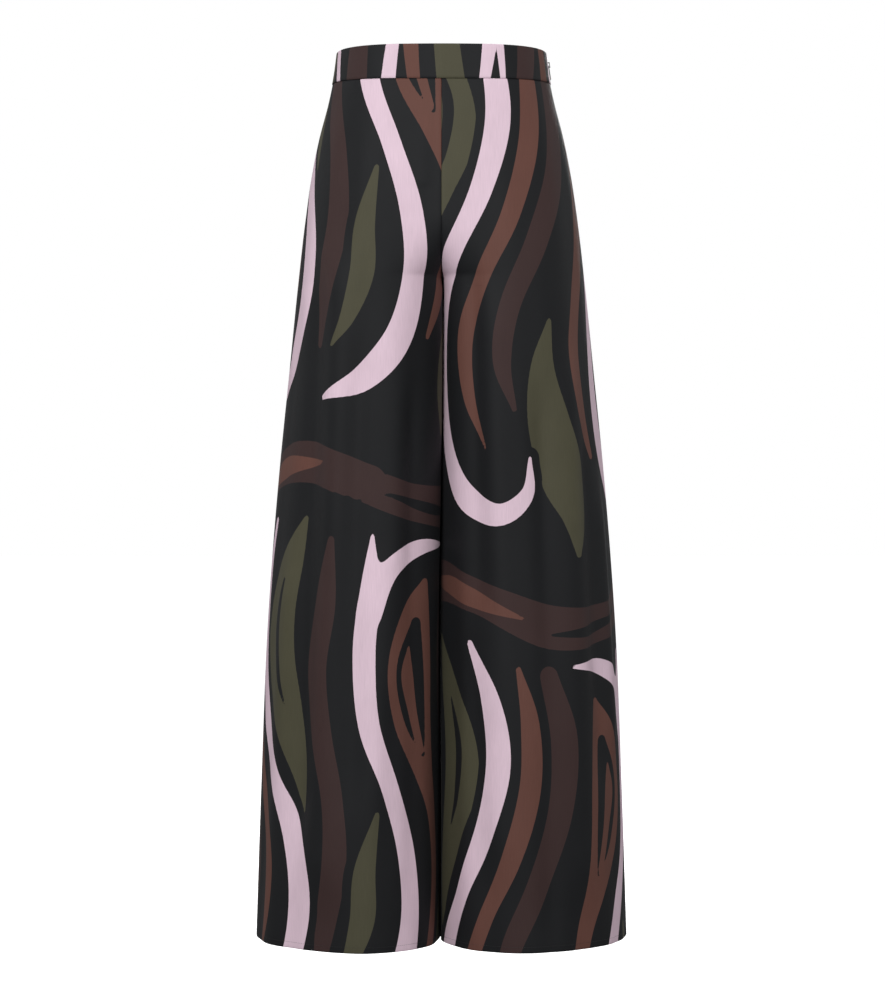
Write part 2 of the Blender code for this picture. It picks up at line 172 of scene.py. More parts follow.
# ---- The print, in centimetres on the flat cloth -------------------------------------------------
# Each stroke is a brush line of changing half width: (across, up, half width).  A stroke pushes the
# ones before it back by its margin of bare ground; one that joins runs softly into its own colour.
REPEAT = (0.42, 0.8)
PRINT_ORDER = ("plum", "olive", "brown", "pink")
FAR = 0.05
JOIN_SOFT = 0.012
CURVE_STEPS = 8
STROKES = (
    ("plum", 0.0, False, ((-3, -10, 2.2), (6, -7.5, 2.6), (15, -9.5, 2.1), (24, -13, 2.7),
                          (33, -12.5, 2.3), (40, -10, 2.2), (45, -8, 2.5))),
    ("brown", 0.0, False, ((3, -7.5, 0.2), (9, -8, 1.2), (14, -9.6, 1.1), (20, -11.8, 0.2))),
    ("ground", 0.0, False, ((24, -14, 0.2), (30, -13.4, 0.7), (37, -11.4, 0.2))),
    ("plum", 1.1, False, ((1.5, -17, 0.4), (2.5, -25, 1.5), (3.8, -33, 1.7), (3, -41, 1.5),
                          (1.5, -49, 1.3), (1.2, -57, 1.5), (2.6, -65, 1.4), (4, -73, 0.4))),
    ("plum", 1.1, False, ((23.5, -19, 1.2), (25.5, -27, 1.7), (25, -36, 1.6), (22, -45, 1.5),
                          (18.5, -53, 1.3), (17.5, -60, 1.1), (19, -66, 0.3))),
    ("olive", 1.15, False, ((6, -14.5, 0.3), (8, -19.5, 1.7), (10.3, -26, 3), (10.8, -32, 3.4),
                            (9, -38.5, 2.5), (7, -45, 1.4), (6, -51, 0.3))),
    ("ground", 0.0, False, ((9, -22, 0.15), (10.8, -28, 0.7), (10.2, -34, 0.5), (8.8, -38, 0.1))),
    ("olive", 1.15, False, ((23.5, -55, 0.3), (22.6, -61, 1.6), (23.4, -67.5, 2.7),
                            (25.4, -74, 3), (27, -79, 1.9), (27.4, -84, 0.4))),
    ("olive", 1.15, False, ((38, -51, 0.3), (39.5, -58, 1.3), (39.8, -64, 1.5),
                            (41.5, -69.5, 0.9), (43.5, -73, 0.2))),
    ("brown", 1.15, False, ((19.5, -18, 0.3), (21, -25, 1.2), (21, -33, 1.4), (18.5, -42, 1.2),
                            (15, -49.5, 1), (12.5, -57, 1.1), (13, -64.5, 0.8), (15.5, -71, 0.1))),
    ("brown", 1.15, False, ((31, -22.5, 0.5), (32.5, -27, 2.4), (33.2, -33, 3.5),
                            (32.6, -39.5, 3.1), (30.6, -46, 1.8), (28.6, -52, 1.2),
                            (27.6, -59, 1.1), (28.6, -66, 1), (31, -72, 0.3))),
    ("ground", 0.0, False, ((32.4, -27.6, 0.8), (33.3, -33, 2.2), (32.6, -38.8, 1.8),
                            (31, -44, 0.3))),
    ("brown", 0.0, False, ((33.6, -30.5, 0.2), (33.8, -34, 1), (32.8, -38.6, 0.7),
                           (31.4, -43.5, 0.5))),
    ("pink", 1.15, False, ((13, -15, 0.4), (16, -22, 1.3), (17, -30, 1.6), (15, -38.5, 1.4),
                           (11.5, -46, 1.2), (8, -53, 1.5), (6.5, -61, 1.8), (7.8, -69, 1.6),
                           (11.5, -76, 1.7), (16.8, -79, 1.4), (20.6, -76.5, 0.9), (21, -72, 0.2))),
    ("pink", 1.15, False, ((38.5, -16.5, 0.2), (38.8, -23, 1.2), (39.6, -31, 1.4), (39, -40, 1.3),
                           (36.2, -48, 1.2), (33.8, -56, 1.4), (33.2, -64, 1.5), (35, -71.5, 1.8),
                           (39.5, -77, 1.6), (45, -79.5, 0.3))),
    ("pink", 1.15, True, ((38.7, -26, 1.1), (36.4, -20.8, 1.2), (32, -18.2, 1), (26.5, -17.9, 0.2))),
)
# how each panel lies on the printed cloth: sense across, shift across, shift up
PRINT_PLACE = {
    "front_right": (1, 0.300, -0.400),
    "front_left": (1, 0.100, -0.250),
    "back_right": (1, -0.125, -0.260),
    "back_left": (-1, -0.115, -0.340),
}
# stripes of the band, cut along them: colour, half width at foot and top, place at foot and top
BAND_STRIPES = {
    "front": (
        ("olive", 1.00, 1.20, -17.4, -17.0), ("pink", 0.55, 0.75, -14.6, -15.2),
        ("plum", 1.60, 1.45, -11.0, -10.6), ("pink", 0.90, 0.80, -6.6, -6.0),
        ("brown", 0.80, 0.95, -3.4, -3.8), ("olive", 1.75, 1.60, 1.2, 0.6),
        ("pink", 0.70, 0.90, 5.4, 5.9), ("pink", 0.35, 0.50, 7.6, 7.2),
        ("plum", 1.25, 1.40, 10.6, 11.0), ("brown", 0.90, 0.80, 14.4, 14.0),
        ("pink", 0.60, 0.55, 17.3, 17.7),
    ),
    "back": (
        ("pink", 0.80, 0.60, -16.3, -15.6), ("brown", 1.20, 1.40, -12.9, -12.4),
        ("olive", 1.70, 1.50, -8.0, -7.6), ("pink", 0.45, 0.70, -4.2, -4.8),
        ("plum", 1.50, 1.60, -0.6, -0.9), ("pink", 1.00, 0.85, 3.2, 3.0),
        ("olive", 1.20, 1.45, 7.2, 7.7), ("brown", 0.75, 0.65, 10.9, 11.2),
        ("pink", 0.60, 0.75, 13.9, 13.5), ("plum", 1.20, 1.20, 17.0, 17.0),
    ),
}

# ---- Finishes, as linear colours, and the studio -------------------------------------------------
INKS = {
    "ground": (0.0112, 0.0117, 0.0131, 1.0),
    "plum": (0.046, 0.026, 0.025, 1.0),
    "olive": (0.072, 0.068, 0.042, 1.0),
    "brown": (0.130, 0.057, 0.044, 1.0),
    "pink": (0.74, 0.565, 0.655, 1.0),
}
LINE_COLOUR = (0.006, 0.005, 0.006, 1.0)
INKS_INSIDE = {
    "ground": (0.085, 0.083, 0.086, 1.0),
    "plum": (0.105, 0.088, 0.088, 1.0),
    "olive": (0.125, 0.124, 0.105, 1.0),
    "brown": (0.140, 0.108, 0.102, 1.0),
    "pink": (0.300, 0.270, 0.285, 1.0),
}
LINE_INSIDE = (0.070, 0.068, 0.070, 1.0)
LINE_WIDTH = 0.0011         # dark line round the pink
LINE_SOFT = 0.0004
PRINT_SOFT = 0.0005
RIB_PITCH = 0.0011
COIL_PITCH = 0.0014
COIL_WIRE = 0.00028
TAPE_WALL = 0.0008
STITCH_PITCH = 0.0029
STITCH_LONG = 0.0021
STITCH_THICK = 0.00040
STITCH_FLAT = 0.8
STITCH_ABOVE = 0.0078       # of the hem stitches, above the hem's edge
CLOTH_SHEEN = 0.035
CLOTH_GLOSS = 0.16
FLOOR_Z = -1.32
FLOOR_REACH = 14.0
FLOOR_GLOW = 0.75
SKY_LIGHT = (0.05, 0.40)    # from straight below and from straight above
CAMERA_PLACE = (0.0013, -4.20, -0.382)
CAMERA_AIM = (0.0013, 0.0, -0.526)
LENS = (118.8, 36.0)        # focal length and sensor width, in millimetres
# name, place, aim, size, watts
LIGHTS = (
    ("key", (-1.1, -3.3, 1.3), (0.0, 0.0, -0.40), (1.3, 1.3), 92.0),
    ("fill", (1.5, -3.4, 0.1), (0.0, 0.0, -0.50), (1.6, 1.6), 26.0),
    ("side_left", (-2.2, 0.5, 0.4), (0.0, 0.0, -0.35), (0.8, 1.8), 10.0),
    ("side_right", (2.2, 0.5, 0.4), (0.0, 0.0, -0.35), (0.8, 1.8), 10.0),
    ("back", (0.7, 3.4, 1.2), (0.0, 0.0, -0.45), (1.6, 1.6), 70.0),
)

# ---- Seam allowances -----------------------------------------------------------------------------
# seams: the panel that each one's allowances are pressed to, which edge of it, and its top and foot
SEAMS = {
    "allowance_front": ("front_right", "inner", -0.004, -1.068),
    "allowance_back": ("back_left", "inner", -0.004, -1.068),
    "allowance_side_right": ("back_right", "side", -0.004, -1.068),
    "allowance_side_left": ("back_left", "side", -0.184, -1.068),
}


# ---- Outline of the garment ----------------------------------------------------------------------
def interpolate_sections(z):
    """The sizes of the leg at heights z: a cubic through each column of SECTIONS."""
    heights = SECTIONS[::-1, 0]
    values = SECTIONS[::-1, 1:]
    slopes = np.gradient(values, heights, axis=0)
    z = np.clip(z, heights[0], heights[-1])
    i = np.clip(np.searchsorted(heights, z, side="right") - 1, 0, len(heights) - 2)
    step = (heights[i + 1] - heights[i])[:, None]
    t = (z[:, None] - heights[i][:, None]) / step
    blend = ((2 * t ** 3 - 3 * t ** 2 + 1) * values[i]
             + (t ** 3 - 2 * t ** 2 + t) * step * slopes[i]
             + (3 * t ** 2 - 2 * t ** 3) * values[i + 1]
             + (t ** 3 - t ** 2) * step * slopes[i + 1])
    return {name: blend[:, k] for k, name in enumerate(SECTION_COLUMNS[1:])}


def rise_depth(z, face):
    """How far a panel's inner edge lies behind its foremost line at heights z.

    Nothing above the rise, a quarter of a superellipse through it, and the whole depth to the
    inseam below the crotch.
    """
    reach = CROTCH_Y if face == "front" else -CROTCH_Y
    depth = interpolate_sections(np.minimum(z, CROTCH_Z))[face]
    t = np.clip((RISE_TOP[face] - z) / (RISE_TOP[face] - CROTCH_Z), 0.0, 1.0)
    power = RISE_POWER[face]
    return (depth + reach) * (1 - (1 - t ** power) ** (1 / power))


def outlines(z, face, side_gap=0.0):
    """Fine outlines of one face of the wearer's left leg, one row to each height z.

    Each runs from the rise seam or inseam: a straight inner wall, a quarter ellipse round the
    corner to the foremost point, and a superellipse from there to the side seam.  Returns x, y,
    the run along the outline, and the run at the foremost point.
    """
    size = {name: value[:, None] for name, value in interpolate_sections(z).items()}
    depth, middle = size[face], size[face + "_x"]
    edge = rise_depth(z, face)[:, None]
    turn = np.minimum(edge, size[face + "_corner"])
    below = np.clip((CROTCH_Z - z) / EDGE_EASE, 0.0, 1.0)[:, None]
    edge_x = LEG_GAP / 2 * below
    t = np.linspace(0.0, 1.0, PATH_STEPS)[None, :]
    wall_back = edge + (turn - edge) * t
    wall_x = edge_x + (LEG_GAP / 2 - edge_x) * np.clip((edge - wall_back) / EDGE_EASE, 0.0, 1.0)
    quarter = t * math.pi / 2
    corner_x = wall_x[:, -1:] + (middle - wall_x[:, -1:]) * (1 - np.cos(quarter))
    corner_y = depth - turn + turn * np.sin(quarter)
    power = 2 / size[face + "_round"]
    side_x = middle + (size["half_width"] - middle) * np.sin(quarter) ** power
    gap = np.broadcast_to(np.asarray(side_gap, float), z.shape)[:, None]
    side_y = gap + (depth - gap) * np.maximum(np.cos(quarter), 0.0) ** power
    x = np.concatenate([wall_x, corner_x, side_x], axis=1)
    y = np.concatenate([depth - wall_back, corner_y, side_y], axis=1)
    y = -y if face == "front" else y
    steps = np.hypot(np.diff(x, axis=1), np.diff(y, axis=1))
    run = np.concatenate([np.zeros((len(z), 1)), np.cumsum(steps, axis=1)], axis=1)
    return x, y, run, run[:, 2 * PATH_STEPS - 1]


def sample(run, values, where):
    """Each row's values at the runs `where`, by one linear interpolation over all the rows."""
    apart = 10.0 * np.arange(len(run))[:, None]
    return np.interp((where + apart).ravel(), (run + apart).ravel(),
                     values.ravel()).reshape(where.shape)


def seam_spaced(total, columns):
    """Runs of the columns: close together beside both seams, and even between them."""
    near = np.array(SEAM_COLUMNS)
    t = np.linspace(0.0, 1.0, columns - 2 * len(near) + 2)[1:-1]
    middle = near[-1] + (total - 2 * near[-1]) * t
    return np.concatenate([near + 0 * total, middle, total - near[::-1]], axis=1)


def outward(x, y, face):
    """Level unit normals of rows of outline points: the tangent turned a quarter outwards."""
    along_x, along_y = np.gradient(x, axis=1), np.gradient(y, axis=1)
    long = np.maximum(np.hypot(along_x, along_y), 1e-12)
    sign = 1 if face == "front" else -1
    return sign * along_y / long, -sign * along_x / long


def mouth(z):
    """Half the space between the two sides of the zipped seam: it opens smoothly at the slider."""
    t = np.clip((z - MOUTH_LOW_Z) / (MOUTH_HIGH_Z - MOUTH_LOW_Z), 0.0, 1.0)
    return MOUTH_HALF * t * t * (3 - 2 * t)


# ---- Print ---------------------------------------------------------------------------------------
def smooth_line(points):
    """A Catmull-Rom curve through the points of a stroke, with its half widths, in metres."""
    p = np.array(points, float) / 100
    p = np.vstack([2 * p[0] - p[1], p, 2 * p[-1] - p[-2]])
    t = np.linspace(0.0, 1.0, CURVE_STEPS, endpoint=False)[:, None]
    spans = [0.5 * (2 * b + (c - a) * t + (2 * a - 5 * b + 4 * c - d) * t ** 2
                    + (3 * b - a - 3 * c + d) * t ** 3)
             for a, b, c, d in zip(p[:-3], p[1:-2], p[2:-1], p[3:])]
    line = np.vstack(spans + [p[-2:-1]])
    line[:, 2] = np.maximum(line[:, 2], 0.0)
    return line


def line_distance(across, up, line):
    """Signed distance to a line of changing half width: the nearest of its round-ended spans."""
    best = np.full(across.shape, FAR)
    for (x0, y0, w0), (x1, y1, w1) in zip(line[:-1], line[1:]):
        dx, dy = x1 - x0, y1 - y0
        t = np.clip(((across - x0) * dx + (up - y0) * dy) / max(dx * dx + dy * dy, 1e-12), 0.0, 1.0)
        away = np.hypot(across - x0 - t * dx, up - y0 - t * dy) - (w0 + (w1 - w0) * t)
        np.minimum(best, away, out=best)
    return best


def smooth_min(a, b):
    """The smaller of two distances, with a soft web where they meet."""
    h = np.clip(0.5 + 0.5 * (b - a) / JOIN_SOFT, 0.0, 1.0)
    return b + (a - b) * h - JOIN_SOFT * h * (1 - h)


def lay_stroke(fields, near, away, colour, margin, joins):
    """Adds a stroke to the distances so far, where `near` is true."""
    for other in fields:
        if other != colour or not joins:
            fields[other][near] = np.maximum(fields[other][near], margin - away)
    if colour != "ground":
        own = fields[colour][near]
        fields[colour][near] = smooth_min(own, away) if joins else np.minimum(own, away)


def cloth_print(across, up):
    """Distance to the edge of each colour at points of the flat cloth, negative inside it."""
    fields = {colour: np.full(across.shape, FAR) for colour in PRINT_ORDER}
    for colour, margin, joins, points in STROKES:
        line = smooth_line(points)
        low = (line[:, :2] - line[:, 2:]).min(axis=0) - JOIN_SOFT
        high = (line[:, :2] + line[:, 2:]).max(axis=0) + JOIN_SOFT
        first = np.ceil([(across.min() - high[0]) / REPEAT[0], (up.min() - high[1]) / REPEAT[1]])
        last = np.floor([(across.max() - low[0]) / REPEAT[0], (up.max() - low[1]) / REPEAT[1]])
        for i in range(int(first[0]), int(last[0]) + 1):
            for j in range(int(first[1]), int(last[1]) + 1):
                x, y = across - i * REPEAT[0], up - j * REPEAT[1]
                near = (x > low[0]) & (x < high[0]) & (y > low[1]) & (y < high[1])
                if near.any():
                    away = line_distance(x[near], y[near], line)
                    lay_stroke(fields, near, away, colour, margin / 100, joins)
    return fields


def band_print(across, up, face):
    """Distances for the band: stripes that cross it, a little slanted and with uneven edges."""
    fields = {colour: np.full(across.shape, FAR) for colour in PRINT_ORDER}
    share = np.clip(up / BAND_HEIGHT_CENTRE, 0.0, 1.0)
    for k, (colour, foot_half, top_half, foot, top) in enumerate(BAND_STRIPES[face]):
        half = (foot_half + (top_half - foot_half) * share) / 100
        centre = (foot + (top - foot) * share + 0.06 * np.sin(2.1 * share + k)) / 100
        lay_stroke(fields, slice(None), np.abs(across - centre) - half, colour, 0.0, False)
    return fields


# ---- Meshes --------------------------------------------------------------------------------------
def add_mesh(name, points, faces, materials, smooth=True):
    """One piece from its points and faces, with its materials; it is added to the scene."""
    mesh = bpy.data.meshes.new(name)
    mesh.from_pydata(points, [], faces)
    mesh.polygons.foreach_set("use_smooth", np.full(len(mesh.polygons), smooth))
    for material in materials:
        mesh.materials.append(material)
    mesh.update()
    piece = bpy.data.objects.new(name, mesh)
    bpy.context.scene.collection.objects.link(piece)
    return piece


def grid_faces(rows, columns, flip=False, close_columns=False):
    """The squares of a grid of points; with close_columns the last column meets the first."""
    r = np.arange(rows - 1)[:, None] * columns
    c = np.arange(columns if close_columns else columns - 1)[None, :]
    c_next = (c + 1) % columns
    quads = np.stack([r + c, r + c_next, r + columns + c_next, r + columns + c], axis=-1)
    quads = quads.reshape(-1, 4)
    return quads[:, ::-1] if flip else quads


def set_cloth_data(piece, across, up, fields):
    """Puts the flat place of each point into the UV map `cloth`, and the print into attributes."""
    mesh = piece.data
    corner = np.empty(len(mesh.loops), dtype=np.int32)
    mesh.loops.foreach_get("vertex_index", corner)
    flat = np.column_stack([across.ravel(), up.ravel()])[corner]
    mesh.uv_layers.new(name="cloth").data.foreach_set("uv", flat.ravel())
    for colour, distance in fields.items():
        layer = mesh.attributes.new("print_" + colour, "FLOAT", "POINT")
        layer.data.foreach_set("value", distance.ravel())


def solidify(piece, wall, inside_material=0):
    """Gives a surface its thickness, inwards from its outer side."""
    wall_modifier = piece.modifiers.new("wall", "SOLIDIFY")
    wall_modifier.thickness = wall
    wall_modifier.offset = -1.0
    wall_modifier.material_offset = inside_material
    wall_modifier.use_quality_normals = True


# ---- Leg panels ----------------------------------------------------------------------------------
def panel_rows(face):
    """Heights of a panel's rows down to the hem: even, but by angle through the rise."""
    top = RISE_TOP[face]
    first = -np.array(TOP_ROWS)
    above = np.linspace(first[-1], top, int((first[-1] - top) / ROW_STEP) + 1)[1:-1]
    rise = top + (CROTCH_Z - top) * np.sin(np.linspace(0.0, math.pi / 2, RISE_ROWS))
    ease = CROTCH_Z - EDGE_EASE * np.array((0.1, 0.3, 0.55, 0.8, 1.0))
    low = HEM_Z + HEM_RADIUS
    leg = np.linspace(ease[-1], low, int((ease[-1] - low) / ROW_STEP) + 1)[1:]
    return np.concatenate([first, above, rise, ease, leg])


def hem_rows():
    """The turned hem: rows round the fold and up inside, as (height, inward shift, length down)."""
    angle = np.linspace(0.0, math.pi, HEM_TURN_ROWS)[1:]
    low = HEM_Z + HEM_RADIUS
    turn = np.column_stack([low - HEM_RADIUS * np.sin(angle), HEM_RADIUS * (1 - np.cos(angle)),
                            HEM_RADIUS * angle])
    up = np.linspace(0.0, HEM_DEPTH, 4)[1:]
    rise = np.column_stack([low + up, np.full(3, 2 * HEM_RADIUS), HEM_RADIUS * math.pi + up])
    return np.vstack([turn, rise])


def fold_lift(panel, across, z):
    """How far folds push the cloth out: soft ridges and troughs along slanting lines.

    Each is a bell curve across its line, faded in and out at its ends, and the cloth between them
    rolls a little by slow sines.
    """
    lift = np.zeros(across.shape)
    for across_top, z_top, across_low, z_low, width, height in FOLDS[panel]:
        t = (z_top - z) / (z_top - z_low)
        line = across_top + (across_low - across_top) * t
        ends = smooth_step((z_top - z) / FOLD_FADE + 0.5) * smooth_step((z - z_low) / FOLD_FADE + 0.8)
        lift += height * ends * np.exp(-((across - line) / (width * (1 + 0.25 * t))) ** 2)
    phase = PANEL_SHIFT * list(FOLDS).index(panel)
    roll = sum(share * np.sin(wide * across + high * z + shift * phase)
               for share, wide, high, shift in ROLL_WAVES)
    return FOLD_GAIN * lift + ROLL * roll * smooth_step(-z / ROLL_FADE)


def smooth_step(t):
    """0 below 0, 1 above 1, and a smooth rise between."""
    t = np.clip(t, 0.0, 1.0)
    return t * t * (3 - 2 * t)


def inner_sway(y, z):
    """Sideways sway of both legs' inner walls: a sine front to back, from just above the crotch."""
    depth_wave, wander, height_wave = INNER_SWAY
    wave = np.sin(depth_wave * y + wander * np.sin(height_wave * z))
    return (INNER_WAVE * wave * smooth_step((INNER_DEPTH - np.abs(y)) / INNER_FADE)
            * smooth_step((INNER_TOP - z) / INNER_FADE))


def panel_surface(panel, z, sink, columns=None):
    """Rows of points of a panel on the wearer's left leg, with folds and sunken seams.

    z is each row's height on the outline, sink its shift inwards, and columns gives the runs of
    the points from each row's whole length.  Returns x, y, the place across the flat cloth and the
    run of each point.
    """
    face = panel.split("_")[0]
    x, y, run, front_run = outlines(z, face)
    where = columns(run[:, -1:]) if columns else seam_spaced(run[:, -1:], PANEL_COLUMNS)
    x, y = sample(run, x, where), sample(run, y, where)
    across = where - front_run[:, None] + interpolate_sections(z)[face + "_x"][:, None]
    from_side = run[:, -1:] - where
    calm = smooth_step(from_side / FOLD_SEAM_REACH) * smooth_step(where / FOLD_SEAM_REACH)
    facing = smooth_step((x - FOLD_INNER[0]) / (FOLD_INNER[1] - FOLD_INNER[0]))
    inner = np.where(z[:, None] < RISE_TOP[face] + 0.03, facing, 1.0)
    lift = fold_lift(panel, across, z[:, None]) * calm * inner
    out_x, out_y = outward(x, y, face)
    shift = lift - SEAM_DIP * np.exp(-(from_side / SEAM_SOFT) ** 2) - sink[:, None]
    inner_dip = SEAM_DIP * np.exp(-(where / SEAM_SOFT) ** 2)
    mirror = 1 if panel.endswith("left") else -1
    sway = inner_sway(y, z[:, None]) * (1 - smooth_step(x / INNER_REACH))
    return x + out_x * shift + mirror * sway, y + out_y * (shift - inner_dip), across, where


def leg_panel(panel, materials):
    """One leg panel: a sheet on its outline from the waist seam to the hem, turned up inside.

    A point's place is its row's outline, moved out along the level normal by folds and in at seams.
    """
    face, side = panel.split("_")
    mirror = 1 if side == "left" else -1
    rows = panel_rows(face)
    tuck = TOP_TUCK * np.exp(-((rows + TOP_ROWS[0]) / SEAM_SOFT) ** 2)
    hem = hem_rows()
    z = np.concatenate([rows, np.maximum(hem[:, 0], HEM_Z + HEM_RADIUS)])
    x, y, across, _ = panel_surface(panel, z, np.concatenate([tuck, hem[:, 1]]))
    place = np.concatenate([rows, hem[:, 0]])[:, None] + 0 * x
    down = np.concatenate([rows, HEM_Z + HEM_RADIUS - hem[:, 2]])[:, None] + 0 * x
    points = np.stack([mirror * x, y, place], axis=-1).reshape(-1, 3)
    flip = (face == "front") == (mirror == 1)
    piece = add_mesh(f"{face}_cloth_{side}", points, grid_faces(*x.shape, flip), materials)
    sense, shift_across, shift_up = PRINT_PLACE[panel]
    print_across, print_up = sense * across + shift_across, down + shift_up
    set_cloth_data(piece, print_across, print_up, cloth_print(print_across, print_up))
    solidify(piece, WALL, 1)
    return piece


def seam_allowance(name, panel, edge, z, materials):
    """The overlocked allowances of one seam, pressed to one side: a strip inside along its edge.

    The strip follows the panel moved inwards, and reaches a little past the seam on a straight
    line; its free edge is a fine wave.
    """
    mirror = 1 if panel.endswith("left") else -1
    reach = np.linspace(0.0, ALLOWANCE, 7)[None, :] + 0 * z[:, None]
    reach[:, -1] += ALLOWANCE_WAVE[0] * np.sin(z * ALLOWANCE_WAVE[1])
    columns = (lambda total: total - reach[:, ::-1]) if edge == "side" else (lambda total: reach)
    x, y, _, _ = panel_surface(panel, z, np.full(len(z), WALL + ALLOWANCE_GAP), columns)
    if edge == "side":
        x, y = x[:, ::-1], y[:, ::-1]
    lap = ALLOWANCE_LAP / np.hypot(x[:, :1] - x[:, 1:2], y[:, :1] - y[:, 1:2])
    x = np.hstack([x[:, :1] + (x[:, :1] - x[:, 1:2]) * lap, x])
    y = np.hstack([y[:, :1] + (y[:, :1] - y[:, 1:2]) * lap, y])
    reach = np.hstack([0 * reach[:, :1] - ALLOWANCE_LAP, reach])
    points = np.stack([mirror * x, y, z[:, None] + 0 * x], axis=-1)
    flip = (panel.startswith("front") == (mirror == 1)) != (edge == "side")
    piece = add_mesh(name, points.reshape(-1, 3), grid_faces(*x.shape, flip), materials)
    set_cloth_data(piece, reach, z[:, None] + 0 * reach, {})
    solidify(piece, ALLOWANCE_WALL)
    return piece


# ---- Waistband -----------------------------------------------------------------------------------
def band_section():
    """The band's section as (share of height, height added, offset out), closed, going round it.

    A flat bar: square-cornered at the foot, and folded over at the top.
    """
    middle = BAND_PROUD - BAND_WALL / 2
    face_rows = np.linspace(0.0, 1.0, 13)
    swell = BAND_SWELL * np.sin(math.pi * face_rows)
    foot_lift = BAND_FOOT_LIFT * (1 - face_rows)
    outer = np.column_stack([face_rows, foot_lift, BAND_PROUD + swell])
    angle = np.linspace(0.0, math.pi, 8)[1:-1]
    fold = np.column_stack([np.ones(6), BAND_EDGE * np.sin(angle),
                            middle + BAND_EDGE * np.cos(angle)])
    inner = np.column_stack([face_rows[::-1], foot_lift[::-1],
                             np.full(13, BAND_PROUD - BAND_WALL)])
    foot = np.array([(0.0, 0.00015, BAND_PROUD - BAND_WALL + 0.0003), (0.0, 0.0, middle),
                     (0.0, 0.00015, BAND_PROUD - 0.0003)])
    return np.vstack([outer, fold, inner, foot])


def waistband(face, material):
    """Half the waistband: its section carried along the outline from side seam to side seam."""
    levels = np.linspace(0.0, BAND_HEIGHT_CENTRE, BAND_LEVELS)
    section = band_section()
    halves = []
    for side in (-1, 1):
        x, y, run, front_run = outlines(levels, face, mouth(levels) if side > 0 else 0.0)
        total = run[:, -1:]
        end = np.array(BAND_ENDS)
        t = np.linspace(0.0, 1.0, BAND_COLUMNS - len(end) + 1)[:-1]
        where = np.concatenate([(total - 0.0035) * t, total - end[::-1]], axis=1)
        x, y = sample(run, x, where), sample(run, y, where)
        across = where - front_run[:, None] + interpolate_sections(levels)[face + "_x"][:, None]
        out_x, out_y = outward(x, y, face)
        share = where / total
        x[:, 0] = 0.0
        out_x[:, 0] = 0.0
        top = BAND_HEIGHT_CENTRE + (BAND_HEIGHT_SIDE - BAND_HEIGHT_CENTRE) * share[0] ** 2
        z = (section[:, :1] * (top - BAND_EDGE - WAIST_GAP) + section[:, 1:2] + WAIST_GAP)
        level = np.clip(z / levels[1], 0.0, BAND_LEVELS - 1.001)
        low = level.astype(int)
        part = level - low
        column = np.arange(x.shape[1])[None, :] + 0 * low
        at = lambda grid: grid[low, column] * (1 - part) + grid[low + 1, column] * part
        middle = BAND_PROUD - BAND_WALL / 2
        squeeze = np.ones(x.shape[1])
        squeeze[-len(BAND_END_WALL):] = BAND_END_WALL
        offset = middle + (section[:, 2:] - middle) * squeeze
        size, wave = BAND_RIPPLE
        ripple = size * np.sin(wave * at(across) + 3 * side) * np.sin(math.pi * section[:, :1])
        offset = offset + ripple * squeeze
        grid = np.stack([side * (at(x) + at(out_x) * offset), at(y) + at(out_y) * offset, z], axis=-1)
        flat = np.stack([side * at(across), z], axis=-1)
        halves.append((grid, flat) if side > 0 else (grid[:, :0:-1], flat[:, :0:-1]))
    grid = np.concatenate([halves[0][0], halves[1][0]], axis=1)
    flat = np.concatenate([halves[0][1], halves[1][1]], axis=1)
    ring, columns = grid.shape[:2]
    points = grid.transpose(1, 0, 2).reshape(-1, 3)
    flat = flat.transpose(1, 0, 2).reshape(-1, 2)
    faces = [tuple(f) for f in grid_faces(columns, ring, face == "front", close_columns=True)]
    ends = [tuple(range(ring)), tuple(range(columns * ring - 1, (columns - 1) * ring - 1, -1))]
    faces += [end[::-1] for end in ends] if face == "front" else ends
    piece = add_mesh("band_cloth_" + face, points, faces, [material])
    fields = band_print(flat[:, 0], flat[:, 1], face)
    set_cloth_data(piece, flat[:, 0], flat[:, 1], fields)
    return piece


# ---- Zip -----------------------------------------------------------------------------------------
def zip_tape(face, material):
    """One tape of the zip: the outline beside the side seam moved inwards, with a cord at its edge."""
    z = np.linspace(ZIP_TOP_Z, ZIP_BOTTOM_Z, 106)
    x, y, run, _ = outlines(z, face, mouth(z))
    reach = np.linspace(0.0, TAPE_WIDTH, 13)
    where = run[:, -1:] - reach
    x, y = sample(run, x, where), sample(run, y, where)
    out_x, out_y = outward(x, y, face)
    cord = 0.00025 * np.exp(-((reach - 0.0016) / 0.0006) ** 2)
    ripple = 0.0001 * np.sin(60 * z[:, None] + 200 * reach)
    # the columns run from the seam forwards, against the outline, so out_x and out_y point inwards
    sink = TAPE_DEPTH + 0.0001 - ripple + cord
    points = np.stack([x + out_x * sink, y + out_y * sink, z[:, None] + 0 * x], axis=-1)
    piece = add_mesh("tape_cloth_" + face, points.reshape(-1, 3),
                     grid_faces(*x.shape, face == "back"), [material])
    set_cloth_data(piece, reach + 0 * x, z[:, None] + 0 * x, {})
    solidify(piece, TAPE_WALL)
    return piece


